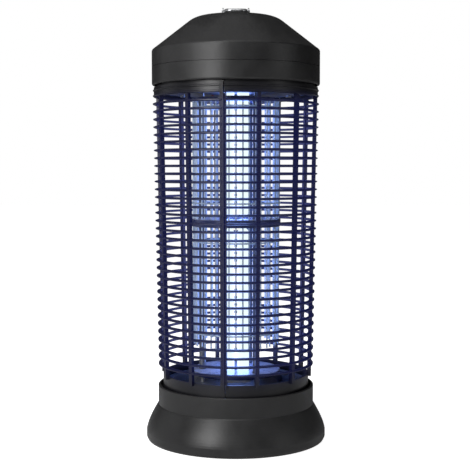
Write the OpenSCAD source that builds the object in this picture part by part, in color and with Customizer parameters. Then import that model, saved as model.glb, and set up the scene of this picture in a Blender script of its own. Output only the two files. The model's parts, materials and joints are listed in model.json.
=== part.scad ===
/* [Base] */
// Outer radius of the rim that stands on the floor
rim_r = 95.2; // [88:0.1:100]
// Height where the upright rim turns into the flare
rim_top_z = 10.5; // [9:0.5:13]
// Outer radius of the collar that receives the tower
collar_r = 82.5; // [81:0.1:83]
// Height where the flare meets the collar
collar_low_z = 38; // [35:0.5:40]
// Height of the collar's top edge
collar_top_z = 58.5; // [57:0.5:60]
// Height of the rubber feet below the tray floor
foot_h = 4; // [3:0.5:5]

/* [Guard] */
// Radius of a ring's tip at the bottom of the guard
guard_low_r = 82.1; // [80:0.1:83]
// Radius of a ring's tip at the top of the guard
guard_top_r = 87.3; // [84:0.1:87.5]
// Number of rings
ring_count = 34; // [30:1:34]
// Height of the uppermost ring
ring_top_z = 354.3; // [353:0.1:355]
// Distance between the two uppermost rings
ring_pitch = 8; // [7.8:0.1:8]
// Growth of the pitch from one ring to the next
ring_pitch_growth = 0.0088; // [0:0.0001:0.0088]
// Angle from the seam bar to the next bar
first_bar_angle = 25.1; // [24:0.1:28]
// Angle from the seam bar to the second bar
second_bar_angle = 56.1; // [54:0.1:58]
// Width of an upright bar
bar_w = 4; // [3:0.5:5]
// Azimuth of the seam bar, from the front
seam_azimuth = -9.6; // [-20:0.1:0]

/* [Grid] */
// Number of wires in each of the two cages
cage_wires = 20; // [16:1:22]
// Radius of the circle of live wires
live_r = 43.6; // [42:0.1:44]
// Radius of the circle of return wires
return_r = 45.4; // [45:0.1:46]
// Radius of a grid wire
wire_r = 0.8; // [0.5:0.1:0.9]
// Height of the lower ends of the wires
wire_low_z = 102; // [98:1:110]

/* [Lamps] */
// Radius of one glass limb
limb_r = 6.25; // [5:0.25:6.5]
// Distance between the two limbs of a lamp
limb_pitch = 15.5; // [14:0.5:16]
// Length of the glass from base to tip
glass_len = 160; // [150:1:160]
// Height where the lower lamp's glass starts
lower_glass_z = 64.5; // [64:0.5:66]

/* [Head] */
// Outer radius of the head
head_r = 88.2; // [87.5:0.1:89]
// Height of the skirt's lower edge
skirt_low_z = 373.7; // [372:0.1:375]
// Height of the groove between skirt and cover
groove_z = 392.8; // [392:0.1:394]
// Height where the cone starts
cone_low_z = 410; // [409:0.1:411]
// Slope of the cone
cone_slope = 38; // [36:0.5:39]
// Radius where the cone runs into the rounded shoulder
shoulder_r = 50; // [48:0.5:52]

/* [Loop] */
// Radius of the loop's wire
loop_wire_r = 2; // [1.5:0.1:2]
// Distance from the pivot to the crossbar
loop_reach = 22; // [20:0.5:22]
// Distance between the two arms
loop_arm_pitch = 20; // [18:0.5:20]
// Height of the pivot
loop_z = 451.2; // [451:0.1:452]
// Angle by which the loop leans forward and down from level
loop_droop = 5.5; // [0:0.1:5.5]

/* [Hidden] */

wall = 2.4;
skin = 0.3;
eps = 0.01;
round_fn = 96;
small_fn = 32;

// Base
rim_edge = 1.3;
rim_low_z = 1.2;
floor_z = foot_h;
shelf_low_z = 43.4;
shelf_t = 3;
shelf_r = 72;
gusset_count = 6;
gusset_t = 2.4;
foot_r = 9;
foot_circle_r = 76;
foot_peg_r = 2.6;
foot_cap_r = 4;
foot_cap_h = 1.4;

// Tower frame
flange_low_z = shelf_low_z + shelf_t + skin;
flange_t = 3;
flange_r = 78.4;
band_low_z = flange_low_z + flange_t + skin;
opening_r = 68;
upstand_r = 74.4;
upstand_top_z = 62;
deck_r = 44.5;
deck_low_z = 57;
deck_t = 3;
arm_w = 8;
arm_low_z = 51;
arm_count = 4;

// Guard
bottom_band_r = 77.2;
bottom_band_top_z = 70.7;
top_band_r = 83;
top_band_low_z = 361.4;
top_band_top_z = 381.6;
top_band_wide_r = 86.2;
band_step_z = 371.4;
ridge_heights = [362.7, 368.3];
ridge_h = 2.2;
ridge_tip_h = 0.9;
ring_h = 2.5;
ring_tip_h = 0.9;
ring_depth = 4.2;
ring_taper = 2.1;
bar_out = 1.6;
bar_in = 5.6;
bar_root = 2.5;
slit_w = 0.7;
lap_w = 4.4;
lap_t = 1.5;
lap_root_w = 1.2;
lap_shift = 0.8;
lap_root_shift = 1;
lap_clear_z = 0.6;
rib_out = 0.9;
guard_span_z = ring_top_z - bottom_band_top_z;

// Lamps
mid_z = 230.4;
lamp_base_h = 22;
lamp_base_l = 32;
lamp_base_w = 18;
lamp_neck_h = 5;
lamp_neck_w = 14.5;
lamp_neck_corner = 6;
socket_corner = 4;
leg_t = 3;
lower_leg_w = 10;
upper_leg_w = 18;
leg_foot_l = 11;
leg_foot_t = 2;
leg_foot_x = 8;
leg_x = 4;
socket_wall = 3;
socket_depth = 12;
lamp_window_r = 3;
window_gap = 0.6;
bridge_r = 2.6;
bridge_drop = 9;

// Grid
ring_wire_r = 0.8;
live_upper_z = 351;
live_lower_z = 210;
return_upper_z = 251;
return_lower_z = 115;
ring_bite = 0.2;
live_ring_r = live_r - wire_r - ring_wire_r + ring_bite;
return_ring_r = return_r + wire_r + ring_wire_r - ring_bite;
plate_r = 47.4;
top_plate_z = 357;
top_plate_t = 3.6;
mid_plate_t = 8.2;
bottom_plate_z = 70;
bottom_plate_t = 4;
wire_bite = 1.5;

// Tie rods
rod_r = 2.2;
rod_circle_r = 35.5;
rod_azimuths = [36, 156, 276];
rod_fit = 0.15;
nut_r = 4.2;
nut_h = 3.4;
conduit_r = 2.6;
conduit_azimuth = 203;

// Head
chassis_z = 366;
chassis_t = 3;
chassis_wall_r = 80;
chassis_flange_z = 384;
ledge_r = 83.9;
ledge_t = 1.5;
lip_r = 83.2;
lip_top_z = 395;
groove_w = 0.4;
edge_r = 2.6;
shoulder_bend_r = 26;
seat_r = 20;
seat_z = 446.1;
boss_r = 4.5;
boss_circle_r = 66;
boss_top_z = 422.5;
boss_azimuths = [0, 120, 240];
screw_r = 1.6;
screw_head_r = 3.2;
screw_head_h = 2;
screw_len = 18;
gland_z = 401.5;
gland_r = 6;
gland_bore_r = 3.5;
gland_flange_r = 8;
gland_out = 93.6;
gland_in = 78;

// Loop
ear_t = 1.8;
ear_in = loop_arm_pitch / 2 + loop_wire_r + 0.4;
ear_top_r = 3.6;
bracket_t = 2.2;
bracket_w = 12;
pivot_fit = 0.08;
stub_out = 0.5;
bracket_screw_x = 4;
bracket_screw_len = 9;
corner_r = 6;

// Colours
black = [0.16, 0.16, 0.17];
guard_black = [0.12, 0.1, 0.13];
rubber = [0.08, 0.08, 0.08];
steel = [0.66, 0.67, 0.7];
zinc = [0.75, 0.76, 0.78];
copper = [0.72, 0.4, 0.2];
glass = [0.9, 0.95, 1];
white = [0.9, 0.9, 0.88];
insulator = [0.2, 0.22, 0.35];
green = [0.1, 0.35, 0.2];
red = [0.6, 0.12, 0.1];
blue = [0.15, 0.25, 0.6];

// Turns what is drawn along +X to an azimuth counted from the front
module at_azimuth(a) rotate([0, 0, a - 90]) children();

// Quadratic curve through three control points
function curve(p, q, r, n) =
    [for (i = [0:n]) let (t = i / n) (1 - t) * (1 - t) * p + 2 * t * (1 - t) * q + t * t * r];

function arc(c, r, from, to, n) =
    [for (i = [0:n]) let (a = from + (to - from) * i / n) c + r * [cos(a), sin(a)]];

function reversed(list) = [for (i = [len(list) - 1:-1:0]) list[i]];

module tube(r, inner, z, h) rotate_extrude($fn = round_fn) translate([inner, z]) square([r - inner, h]);

// Upright block with rounded corners
module rounded_block(l, w, h, r) {
    translate([-l / 2 + r, -w / 2, 0]) cube([l - 2 * r, w, h]);
    translate([-l / 2, -w / 2 + r, 0]) cube([l, w - 2 * r, h]);
    for (x = [-1, 1], y = [-1, 1])
        translate([x * (l / 2 - r), y * (w / 2 - r), 0]) cylinder(r = r, h = h, $fn = small_fn);
}

module lamp_window(z, h) translate([0, 0, z])
    rounded_block(lamp_base_l + 2 * window_gap, lamp_base_w + 2 * window_gap, h, lamp_window_r);

// Base: one moulded cup with a floor, a shelf for the tower and gussets below the shelf
module base_tray() color(black) difference() {
    union() {
        rotate_extrude($fn = round_fn) polygon(concat(
            [[rim_r - wall, rim_low_z], [rim_r - rim_edge, rim_low_z], [rim_r, rim_low_z + rim_edge * 2]],
            flare(0),
            [[collar_r, collar_low_z], [collar_r, collar_top_z - 0.6], [collar_r - 0.6, collar_top_z]],
            [[collar_r - wall, collar_top_z], [collar_r - wall, collar_low_z - 1]],
            reversed(flare(-wall))));
        tube(rim_r - 1, 0, floor_z, wall);
        tube(collar_r - 1, shelf_r, shelf_low_z, shelf_t);
        for (i = [0:gusset_count - 1]) at_azimuth(i * 360 / gusset_count + 15) gusset();
    }
    for (i = [0:3]) foot_place(i) translate([0, 0, floor_z - 1])
        cylinder(r = foot_peg_r + 0.05, h = wall + 2, $fn = small_fn);
}

function flare(inset) = curve([rim_r + inset, rim_top_z], [rim_r + inset - 1.2, rim_top_z + 9],
    [collar_r + inset + 1, collar_low_z - 1], 8);

module gusset() rotate([90, 0, 0]) translate([0, 0, -gusset_t / 2]) linear_extrude(gusset_t)
    polygon([[shelf_r, shelf_low_z + 1], [shelf_r, shelf_low_z - 1], [collar_r - 1.2, shelf_low_z - 6],
        [collar_r - 1.2, shelf_low_z + 1]]);

module foot_place(i) at_azimuth(45 + 90 * i) translate([foot_circle_r, 0, 0]) children();

module rubber_foot(i) color(rubber) foot_place(i) rotate_extrude($fn = 48) polygon([
    [0, 0], [foot_r - 1, 0], [foot_r, 1], [foot_r, floor_z], [foot_peg_r, floor_z],
    [foot_peg_r, floor_z + wall], [foot_cap_r, floor_z + wall], [foot_cap_r, floor_z + wall + foot_cap_h],
    [0, floor_z + wall + foot_cap_h]]);

// Lower chassis: flange on the shelf, upstand inside the guard, arms and deck
module lower_chassis() color(black) difference() {
    union() {
        tube(flange_r, opening_r, flange_low_z, flange_t);
        tube(upstand_r, opening_r, flange_low_z, upstand_top_z - flange_low_z);
        translate([0, 0, deck_low_z]) cylinder(r = deck_r, h = deck_t, $fn = round_fn);
        for (i = [0:arm_count - 1]) at_azimuth(45 + i * 360 / arm_count)
            translate([deck_r - 2, -arm_w / 2, arm_low_z])
                cube([opening_r - deck_r + 3, arm_w, deck_low_z + deck_t - arm_low_z]);
    }
    lamp_window(deck_low_z - 1, deck_t + 2);
    rod_holes(deck_low_z - 1, deck_t + 2);
}

module rod_holes(z, h) {
    for (a = rod_azimuths) at_azimuth(a) translate([rod_circle_r, 0, z])
        cylinder(r = rod_r + rod_fit, h = h, $fn = small_fn);
    at_azimuth(conduit_azimuth) translate([rod_circle_r, 0, z])
        cylinder(r = conduit_r + rod_fit, h = h, $fn = small_fn);
}

// Socket: a cup around the lamp base with a flange that rests on its carrier
module socket_cup(flange_h) difference() {
    union() {
        rounded_block(lamp_base_l + 2 * socket_wall, lamp_base_w + 2 * socket_wall, socket_h, socket_corner);
        translate([0, 0, socket_h - flange_h])
            rounded_block(lamp_base_l + 4 * socket_wall, lamp_base_w + 2 * socket_wall, flange_h, socket_corner);
    }
    translate([0, 0, socket_wall])
        rounded_block(lamp_base_l + window_gap, lamp_base_w + window_gap, socket_depth + 1, lamp_window_r);
}

socket_h = socket_depth + socket_wall;
lower_base_z = lower_glass_z - lamp_base_h;
lower_socket_z = lower_base_z - socket_wall - skin;

module lower_lamp_socket() color(white) {
    translate([0, 0, lower_socket_z]) socket_cup(socket_wall);
    for (x = [-1, 1])
        translate([x * (lamp_base_l / 2 + leg_x) - leg_t / 2, -lower_leg_w / 2, lower_socket_z + socket_h - eps])
            cube([leg_t, lower_leg_w, deck_low_z - lower_socket_z - socket_h]);
}

// Lamp: two glass limbs with round tips and a bridge, in a plastic base, standing on z
module lamp_glass() color(glass) {
    for (x = [-1, 1]) translate([x * limb_pitch / 2, 0, 0]) {
        cylinder(r = limb_r, h = glass_len - limb_r, $fn = 48);
        translate([0, 0, glass_len - limb_r]) sphere(r = limb_r, $fn = 48);
    }
    translate([0, 0, glass_len - bridge_drop]) rotate([0, 90, 0])
        cylinder(r = bridge_r, h = limb_pitch - limb_r, center = true, $fn = small_fn);
}

module lamp_base() color(white) {
    rounded_block(lamp_base_l, lamp_base_w, lamp_base_h - lamp_neck_h, lamp_window_r);
    translate([0, 0, lamp_base_h - lamp_neck_h - eps])
        rounded_block(lamp_base_l - 1, lamp_neck_w, lamp_neck_h + eps, lamp_neck_corner);
}

// Carries a lower-lamp shape to the upper lamp, which hangs from the head
module hung() translate([0, 0, 2 * mid_z]) rotate([180, 0, 0]) children();

module lower_lamp_base() translate([0, 0, lower_base_z]) lamp_base();
module upper_lamp_base() hung() lower_lamp_base();
module lower_lamp_glass() translate([0, 0, lower_glass_z]) lamp_glass();
module upper_lamp_glass() hung() lower_lamp_glass();

// Upper socket stands on two legs over the window in the head chassis
module upper_lamp_socket() color(white) {
    hung() translate([0, 0, lower_socket_z]) socket_cup(socket_wall);
    for (x = [-1, 1]) translate([x * (lamp_base_l / 2 + leg_x) - leg_t / 2, -upper_leg_w / 2, chassis_z + chassis_t])
        cube([leg_t, upper_leg_w, 2 * mid_z - lower_socket_z - socket_h - chassis_z - chassis_t + eps]);
    for (x = [-1, 1])
        translate([x * (lamp_base_l / 2 + leg_foot_x) - leg_foot_l / 2, -upper_leg_w / 2, chassis_z + chassis_t])
            cube([leg_foot_l, upper_leg_w, leg_foot_t]);
}

// Grid plates
module insulator_plate(z, t) color(insulator) difference() {
    rotate_extrude($fn = round_fn) polygon([
        [0, z], [plate_r - 0.8, z], [plate_r, z + 0.8], [plate_r, z + t - 0.8], [plate_r - 0.8, z + t], [0, z + t]]);
    lamp_window(z - 1, t + 2);
    rod_holes(z - 1, t + 2);
}

module grid_top_plate() insulator_plate(top_plate_z, top_plate_t);
module grid_middle_plate() insulator_plate(mid_z - mid_plate_t / 2, mid_plate_t);
module grid_bottom_plate() insulator_plate(bottom_plate_z, bottom_plate_t);

module wire_cage(r, shift) color(steel) for (i = [0:cage_wires - 1])
    at_azimuth((i + shift) * 360 / cage_wires) translate([r, 0, wire_low_z])
        cylinder(r = wire_r, h = top_plate_z + wire_bite - wire_low_z, $fn = 16);

module cage_ring(r, z) color(steel) rotate_extrude($fn = round_fn) translate([r, z])
    circle(r = ring_wire_r, $fn = 24);

// Tie rods, nuts and conduit
module rod_place(i) at_azimuth(rod_azimuths[i]) translate([rod_circle_r, 0, 0]) children();

module tie_rod(i) color(zinc) rod_place(i) translate([0, 0, deck_low_z - nut_h - 2])
    cylinder(r = rod_r, h = chassis_z + chassis_t - deck_low_z + 2 * nut_h + 4, $fn = small_fn);

module nut(z) color(zinc) translate([0, 0, z]) difference() {
    cylinder(r = nut_r, h = nut_h, $fn = 6);
    translate([0, 0, -1]) cylinder(r = rod_r + 0.05, h = nut_h + 2, $fn = small_fn);
}

module top_nut(i) rod_place(i) nut(chassis_z + chassis_t);
module bottom_nut(i) rod_place(i) nut(deck_low_z - nut_h);

module lead_conduit() color(white) at_azimuth(conduit_azimuth) translate([rod_circle_r, 0, deck_low_z - 6])
    difference() {
        cylinder(r = conduit_r, h = chassis_z + chassis_t - deck_low_z + 12, $fn = small_fn);
        translate([0, 0, -1]) cylinder(r = conduit_r - 0.8, h = chassis_z + chassis_t - deck_low_z + 14, $fn = small_fn);
    }

// Guard: two equal halves, each with an overlapping end bar and a tongue behind the other half's bar
function tip_r(z) = guard_low_r + (guard_top_r - guard_low_r) * (z - bottom_band_top_z) / guard_span_z;
function ring_z(i) = ring_top_z - i * ring_pitch - i * i * ring_pitch_growth;

function arc_angle(length) = length / guard_low_r * 180 / PI;

half_bar_angle = asin(bar_w / 2 / guard_low_r);
slit_angle = arc_angle(slit_w);
half_start = -180 + half_bar_angle + slit_angle;
bar_angles = [0, first_bar_angle, second_bar_angle, 90, 180 - second_bar_angle, 180 - first_bar_angle];

module sector(from, to) at_azimuth(from) rotate_extrude(angle = to - from, $fn = round_fn) children();

module upright(out, depth, w, z0, z1) rotate([90, 0, 0]) translate([0, 0, -w / 2]) linear_extrude(w)
    polygon([[tip_r(z0) - out - depth, z0], [tip_r(z0) - out, z0], [tip_r(z1) - out, z1],
        [tip_r(z1) - out - depth, z1]]);

module guard_ring(z) sector(half_start, 0) polygon([
    [tip_r(z) - ring_depth, z - ring_h / 2], [tip_r(z) - ring_taper, z - ring_h / 2], [tip_r(z), z - ring_tip_h / 2],
    [tip_r(z), z + ring_tip_h / 2], [tip_r(z) - ring_taper, z + ring_h / 2], [tip_r(z) - ring_depth, z + ring_h / 2]]);

function ridge(z) = [[top_band_wide_r, z - ridge_h / 2], [top_band_wide_r + rib_out, z - ridge_tip_h / 2],
    [top_band_wide_r + rib_out, z + ridge_tip_h / 2], [top_band_wide_r, z + ridge_h / 2]];

module top_band() sector(half_start, half_bar_angle) polygon(concat(
    [[top_band_r - wall, top_band_low_z], [top_band_wide_r, top_band_low_z]],
    ridge(ridge_heights[0]), ridge(ridge_heights[1]),
    [[top_band_wide_r, band_step_z], [top_band_r, band_step_z], [top_band_r, top_band_top_z],
    [top_band_r - wall, top_band_top_z]]));

module band_rib(r, z0, z1) translate([r - 1, -bar_w / 2, z0]) cube([1 + rib_out, bar_w, z1 - z0]);

module guard_half() color(guard_black) {
    for (i = [0:ring_count - 1]) guard_ring(ring_z(i));
    sector(half_start, half_bar_angle) translate([bottom_band_r - wall, band_low_z])
        square([wall, bottom_band_top_z - band_low_z]);
    top_band();
    for (angle = bar_angles) at_azimuth(-angle)
        upright(bar_out, bar_in - bar_out, bar_w, bottom_band_top_z - bar_root, top_band_low_z + bar_root);
    at_azimuth(0) band_rib(bottom_band_r, band_low_z + 0.6, bottom_band_top_z + 0.4);
    at_azimuth(0) band_rib(top_band_wide_r + skin, top_band_low_z - 0.4, band_step_z - 0.6);
    at_azimuth(half_start - arc_angle(lap_shift))
        upright(bar_in + skin, lap_t, lap_w, bottom_band_top_z + lap_clear_z, top_band_low_z - lap_clear_z);
    at_azimuth(half_start + arc_angle(lap_root_shift)) upright(bar_out + 0.6, bar_in - bar_out + lap_t - 0.6, lap_root_w,
        bottom_band_top_z - bar_root, top_band_low_z + bar_root);
}

module guard_left() rotate([0, 0, seam_azimuth]) guard_half();
module guard_right() rotate([0, 0, seam_azimuth + 180]) guard_half();

// Head chassis: plate, wall inside the guard's top band and a flange on the skirt's ledge
module head_chassis() color(black) difference() {
    union() {
        translate([0, 0, chassis_z]) cylinder(r = chassis_wall_r, h = chassis_t, $fn = round_fn);
        tube(chassis_wall_r, chassis_wall_r - wall, chassis_z, chassis_flange_z + wall - chassis_z);
        tube(head_r - wall - skin, chassis_wall_r - wall, chassis_flange_z, wall);
    }
    lamp_window(chassis_z - 1, chassis_t + 2);
    rod_holes(chassis_z - 1, chassis_t + 2);
    for (a = boss_azimuths) at_azimuth(a) translate([boss_circle_r, 0, chassis_z - 1])
        cylinder(r = screw_r + 0.2, h = chassis_t + 2, $fn = small_fn);
    for (x = [-1, 1]) translate([x * lead_x, lead_y, chassis_z - 1])
        cylinder(r = lead_r + 0.3, h = chassis_t + 2, $fn = small_fn);
}

head_in = head_r - wall;

module head_skirt() color(black) rotate_extrude($fn = round_fn) polygon([
    [head_in, skirt_low_z], [head_r - 1.6, skirt_low_z], [head_r - 0.5, skirt_low_z + 0.6],
    [head_r, skirt_low_z + 1.8], [head_r, groove_z - groove_w], [lip_r + 1.8, groove_z - groove_w],
    [lip_r + 1.8, lip_top_z], [lip_r, lip_top_z],
    [lip_r, chassis_flange_z + wall + skin], [head_in, chassis_flange_z + wall + skin],
    [head_in, chassis_flange_z - 0.1], [ledge_r, chassis_flange_z - 0.1],
    [ledge_r, chassis_flange_z - 0.1 - ledge_t], [head_in, chassis_flange_z - 0.1 - ledge_t]]);

// Cover: outer outline with an edge arc, a cone, a shoulder arc and a flat seat for the bracket
edge_c = [head_r - edge_r, cone_low_z - edge_r * tan(45 - cone_slope / 2)];
shoulder_z = cone_low_z + (head_r - shoulder_r) * tan(cone_slope);
shoulder_c = [shoulder_r, shoulder_z] - shoulder_bend_r * [sin(cone_slope), cos(cone_slope)];

function cover_outline(inset) = concat(
    [[head_r - inset, groove_z]],
    arc(edge_c, edge_r - inset, 0, 90 - cone_slope, 5),
    arc(shoulder_c, shoulder_bend_r - inset, 90 - cone_slope, 86, 8),
    [[seat_r, seat_z - inset], [0, seat_z - inset]]);

module cover_shell() rotate_extrude($fn = round_fn)
    polygon(concat(cover_outline(0), reversed(cover_outline(wall))));

module head_cover() color(black) difference() {
    union() {
        cover_shell();
        for (a = boss_azimuths) at_azimuth(a) translate([boss_circle_r, 0, chassis_z + chassis_t + 0.1])
            cylinder(r = boss_r, h = boss_top_z - chassis_z - chassis_t, $fn = small_fn);
    }
    for (a = boss_azimuths) at_azimuth(a) translate([boss_circle_r, 0, chassis_z])
        cylinder(r = screw_r + 0.02, h = screw_len + 2, $fn = small_fn);
    translate([0, head_r - 2 * wall, gland_z]) rotate([-90, 0, 0])
        cylinder(r = gland_r + 0.1, h = 4 * wall, $fn = small_fn);
    for (x = [-1, 1]) translate([x * bracket_screw_x, 0, seat_z - 2 * wall])
        cylinder(r = screw_r + 0.02, h = 3 * wall, $fn = small_fn);
}

module screw(length) color(zinc) {
    translate([0, 0, -screw_head_h]) cylinder(r = screw_head_r, h = screw_head_h, $fn = small_fn);
    cylinder(r = screw_r, h = length, $fn = small_fn);
}

module cover_screw(i) at_azimuth(boss_azimuths[i]) translate([boss_circle_r, 0, chassis_z]) screw(screw_len);

// Ballast for the lamps, on the left of the head
gear_z = chassis_z + chassis_t + 0.1;
ballast_x = -56;
ballast_size = [26, 56, 30];
coil_gap = 9;
coil_out = 4;

module core(x, size) color(steel) translate([x, 0, gear_z]) difference() {
    translate([-size[0] / 2, -size[1] / 2, 0]) cube(size);
    for (y = [-1, 1]) translate([-size[0] / 2 - 1, y * size[1] / 4 - coil_gap / 2, coil_gap / 2])
        cube([size[0] + 2, coil_gap, size[2] - coil_gap]);
}

module coil(x, size) color(copper) translate([x, 0, gear_z]) difference() {
    translate([-size[0] / 2 - coil_out, -size[1] / 4 - coil_gap / 2 + skin, coil_gap / 2 + skin])
        cube([size[0] + 2 * coil_out, size[1] / 2 + coil_gap - 2 * skin, size[2] - coil_gap - 2 * skin]);
    translate([-size[0] / 2 - skin, -size[1] / 4 + coil_gap / 2 - skin, 0])
        cube([size[0] + 2 * skin, size[1] / 2 - coil_gap + 2 * skin, size[2]]);
}

module ballast_core() core(ballast_x, ballast_size);
module ballast_coil() coil(ballast_x, ballast_size);

// High-voltage transformer, on the right of the head
transformer_x = 47;
transformer_size = [26, 44, 26];

module transformer_core() core(transformer_x, transformer_size);
module transformer_coil() coil(transformer_x, transformer_size);

// Voltage multiplier board with its parts, at the rear of the head
board_l = 56;
board_w = 24;
board_y = 46;
board_t = 1.6;
board_post_h = 6;
board_post_r = 2.5;
board_post_in = 5;
board_z = gear_z + board_post_h;
capacitor_pitch = 13;
capacitor_r = 4.5;
capacitor_h = 12;
capacitor_y = 5;
resistor_r = 1.5;
resistor_l = 8;
resistor_y = -6;

module circuit_board() color(green) {
    translate([-board_l / 2, board_y - board_w / 2, board_z]) cube([board_l, board_w, board_t]);
    for (x = [-1, 1]) translate([x * (board_l / 2 - board_post_in), board_y, gear_z])
        cylinder(r = board_post_r, h = board_post_h + eps, $fn = small_fn);
}

module capacitors() color(blue) for (i = [-1.5:1.5])
    translate([i * capacitor_pitch, board_y + capacitor_y, board_z + board_t])
        cylinder(r = capacitor_r, h = capacitor_h, $fn = small_fn);

module resistors() color(red) for (i = [-1.5:1.5])
    translate([i * capacitor_pitch - resistor_l / 2, board_y + resistor_y, board_z + board_t + resistor_r])
        rotate([0, 90, 0]) cylinder(r = resistor_r, h = resistor_l, $fn = small_fn);

// Terminal block for the supply, at the front of the head
terminal_pitch = 12;
terminal_size = [3 * terminal_pitch, 14, 12];
terminal_y = -52;
terminal_hole_r = 2;

module terminal_block() color(white) translate([-terminal_size[0] / 2, terminal_y, gear_z]) difference() {
    cube(terminal_size);
    for (i = [0.5:2.5]) translate([terminal_pitch * i, terminal_size[1] / 2, terminal_size[2] / 2])
        cylinder(r = terminal_hole_r, h = terminal_size[2], $fn = small_fn);
}

// Insulated leads from the board to the two cages
lead_r = 1.3;
lead_x = 25;
lead_y = 29;

module lead(x) translate([x, lead_y, top_plate_z + top_plate_t + 0.1])
    cylinder(r = lead_r, h = gear_z + 12 - top_plate_z - top_plate_t, $fn = small_fn);

module lead_live() color(red) lead(-lead_x);
module lead_return() color(blue) lead(lead_x);

// Gland for the supply cord, at the rear of the cover
module cord_gland() color(black) translate([0, 0, gland_z]) rotate([-90, 0, 0]) difference() {
    union() {
        translate([0, 0, gland_in]) cylinder(r = gland_r, h = gland_out - gland_in, $fn = 48);
        translate([0, 0, head_r + 0.15]) cylinder(r = gland_flange_r, h = 2.5, $fn = 48);
        translate([0, 0, gland_in]) cylinder(r = gland_flange_r, h = 3, $fn = 48);
    }
    translate([0, 0, gland_in - 1]) cylinder(r = gland_bore_r, h = gland_out - gland_in + 2, $fn = 48);
}

// Bracket with two ears for the hanging loop
module loop_bracket() color(steel) difference() {
    union() {
        translate([-ear_in - ear_t, -bracket_w / 2, seat_z])
            cube([2 * (ear_in + ear_t), bracket_w, bracket_t]);
        for (x = [-ear_in - ear_t, ear_in]) translate([x, 0, 0]) {
            translate([0, -ear_top_r, seat_z]) cube([ear_t, 2 * ear_top_r, loop_z - seat_z]);
            translate([0, 0, loop_z]) rotate([0, 90, 0]) cylinder(r = ear_top_r, h = ear_t, $fn = 48);
        }
    }
    translate([-ear_in - ear_t - 1, 0, loop_z]) rotate([0, 90, 0])
        cylinder(r = loop_wire_r + pivot_fit, h = 2 * (ear_in + ear_t + 1), $fn = 48);
    for (x = [-1, 1]) translate([x * bracket_screw_x, 0, seat_z - 1])
        cylinder(r = screw_r + 0.1, h = bracket_t + 2, $fn = small_fn);
}

module bracket_screw(x) color(zinc) translate([x, 0, seat_z + bracket_t]) {
    cylinder(r = 2.4, h = 1.2, $fn = small_fn);
    translate([0, 0, -bracket_screw_len]) cylinder(r = screw_r, h = bracket_screw_len + eps, $fn = small_fn);
}

// Loop: U-shaped wire leaning forward over the cover, its ends bent outward into the ears
module hanging_loop() color(zinc) translate([0, 0, loop_z]) rotate([loop_droop, 0, 0]) {
    for (x = [-1, 1]) {
        translate([x * loop_arm_pitch / 2, 0, 0]) rotate([90, 0, 0])
            cylinder(r = loop_wire_r, h = loop_reach - corner_r, $fn = 48);
        translate([x * loop_arm_pitch / 2, 0, 0]) sphere(r = loop_wire_r, $fn = 48);
        translate([x * loop_arm_pitch / 2, 0, 0]) rotate([0, 90 * x, 0])
            cylinder(r = loop_wire_r, h = ear_in + ear_t + stub_out - loop_arm_pitch / 2, $fn = 48);
    }
    translate([loop_arm_pitch / 2 - corner_r, corner_r - loop_reach, 0]) rotate([0, 0, -90]) loop_corner();
    translate([corner_r - loop_arm_pitch / 2, corner_r - loop_reach, 0]) rotate([0, 0, 180]) loop_corner();
    translate([0, -loop_reach, 0]) rotate([0, 90, 0])
        cylinder(r = loop_wire_r, h = loop_arm_pitch - 2 * corner_r, center = true, $fn = 48);
}

module loop_corner() rotate_extrude(angle = 90, $fn = round_fn) translate([corner_r, 0])
    circle(r = loop_wire_r, $fn = 48);

base_tray();
rubber_foot(0);  // rubber_foot_1
rubber_foot(1);  // rubber_foot_2
rubber_foot(2);  // rubber_foot_3
rubber_foot(3);  // rubber_foot_4
lower_chassis();
lower_lamp_socket();
lower_lamp_base();
lower_lamp_glass();
upper_lamp_socket();
upper_lamp_base();
upper_lamp_glass();
grid_top_plate();
grid_middle_plate();
grid_bottom_plate();
wire_cage(live_r, 0);  // grid_wires_live
wire_cage(return_r, 0.5);  // grid_wires_return
cage_ring(live_ring_r, live_upper_z);  // live_ring_upper
cage_ring(live_ring_r, live_lower_z);  // live_ring_lower
cage_ring(return_ring_r, return_upper_z);  // return_ring_upper
cage_ring(return_ring_r, return_lower_z);  // return_ring_lower
tie_rod(0);  // tie_rod_1
tie_rod(1);  // tie_rod_2
tie_rod(2);  // tie_rod_3
top_nut(0);  // top_nut_1
top_nut(1);  // top_nut_2
top_nut(2);  // top_nut_3
bottom_nut(0);  // bottom_nut_1
bottom_nut(1);  // bottom_nut_2
bottom_nut(2);  // bottom_nut_3
lead_conduit();
guard_left();
guard_right();
head_chassis();
head_skirt();
head_cover();
cover_screw(0);  // cover_screw_1
cover_screw(1);  // cover_screw_2
cover_screw(2);  // cover_screw_3
ballast_core();
ballast_coil();
transformer_core();
transformer_coil();
circuit_board();
capacitors();
resistors();
terminal_block();
lead_live();
lead_return();
cord_gland();
loop_bracket();
bracket_screw(-bracket_screw_x);  // bracket_screw_1
bracket_screw(bracket_screw_x);  // bracket_screw_2
hanging_loop();
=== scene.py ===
"""Looks of the electric bug zapper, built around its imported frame."""

import json
import logging
import math
from dataclasses import dataclass, field
from enum import Enum

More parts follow.
